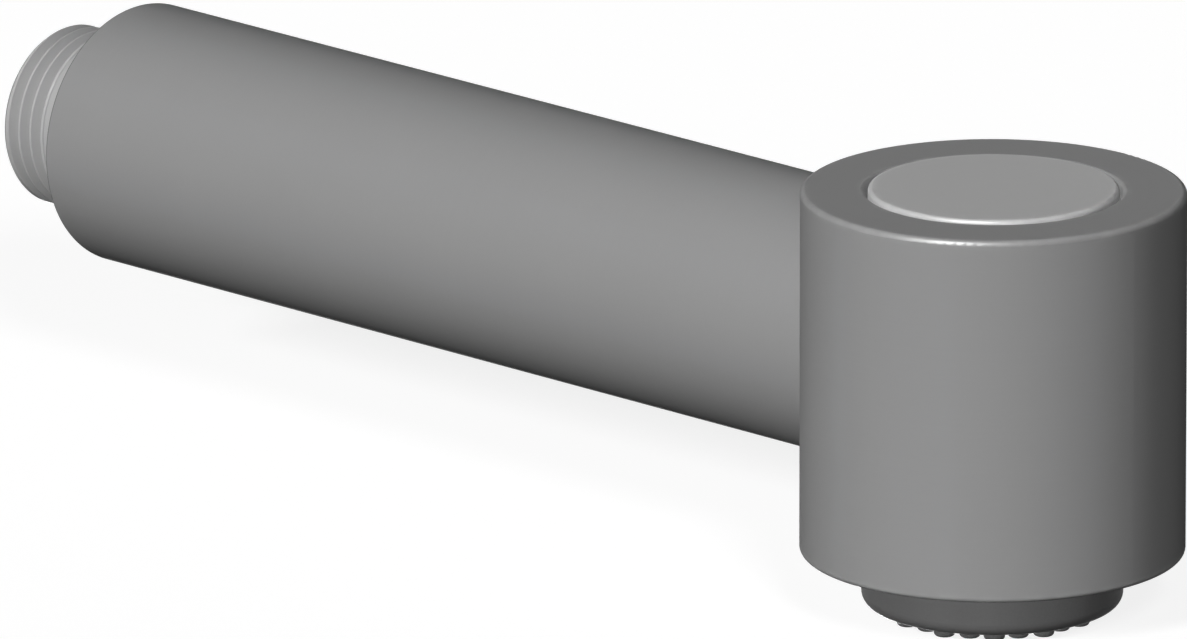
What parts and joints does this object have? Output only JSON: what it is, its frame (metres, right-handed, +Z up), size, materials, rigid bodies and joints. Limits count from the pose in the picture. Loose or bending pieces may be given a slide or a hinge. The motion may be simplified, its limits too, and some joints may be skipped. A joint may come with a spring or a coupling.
{
  "type": "hand-held shower spout",
  "caption": "Hand-held shower spout: round handle with a threaded hose inlet, upright round head with a push button above and an aerator in a ring of nozzles below.",
  "frame": {"origin": "centre of the threaded stub's end face, on the handle's axis", "axes": "+X along the handle from the inlet to the head, +Z up towards the button, spray towards -Z"},
  "size_m": [0.1685, 0.043, 0.0491],
  "materials": {
    "satin_shell": "satin metal, mid grey",
    "satin_button": "satin metal, a little lighter than the shell",
    "plated_connector": "satin plated, lighter than the shell",
    "brass": "plain turned brass",
    "spring_steel": "bright stainless",
    "wire_mesh": "woven stainless wire",
    "dark_face": "moulded, dark grey, fine matt",
    "nozzle_rubber": "soft, dark grey, matt",
    "valve_moulding": "moulded grey acetal",
    "white_acetal": "moulded off-white acetal",
    "honeycomb_plastic": "moulded light grey",
    "seal_rubber": "black rubber"
  },
  "bodies": {
    "root": {"handle_tube": "satin_shell", "joint_sleeve": "brass", "head_shell": "satin_shell", "base_ring": "satin_shell", "end_nut": "plated_connector", "inlet_connector": "plated_connector", "connector_seal": "seal_rubber", "filter_washer": "seal_rubber", "filter_mesh": "wire_mesh", "check_cartridge": "white_acetal", "check_cartridge_seal": "seal_rubber", "check_spring": "spring_steel", "check_guide": "white_acetal", "waterway_tube": "white_acetal", "tube_seals_inlet": "seal_rubber", "tube_seals_head": "seal_rubber", "valve_body": "valve_moulding", "upper_seat": "brass", "valve_cover": "valve_moulding", "cover_seal": "seal_rubber", "stem_seal": "seal_rubber", "gland_washer": "spring_steel", "return_spring": "spring_steel", "spray_ring": "dark_face", "ring_gasket": "seal_rubber", "nozzle_mat": "nozzle_rubber", "distributor_plate": "white_acetal", "outlet_seal": "seal_rubber", "aerator_housing": "dark_face", "aerator_honeycomb": "honeycomb_plastic", "aerator_screens": "wire_mesh", "flow_regulator": "white_acetal", "aerator_seal": "seal_rubber"},
    "button": {"button_cap": "satin_button", "spindle": "brass", "valve_disc": "seal_rubber", "disc_washer": "spring_steel", "disc_screw": "spring_steel"},
    "poppet": {"check_poppet": "white_acetal", "check_poppet_seal": "seal_rubber"}
  },
  "joints": [
    {"name": "button_press", "type": "slide", "parent": "root", "child": "button", "axis": [0, 0, -1], "range_m": [0, 0.0035], "stiffness_N_per_m": 1500, "springref_m": -0.005, "deforming": ["return_spring"]},
    {"name": "check_valve_open", "type": "slide", "parent": "root", "child": "poppet", "axis": [1, 0, 0], "range_m": [0, 0.0025], "stiffness_N_per_m": 60, "springref_m": -0.004, "deforming": ["check_spring"]}
  ]
}
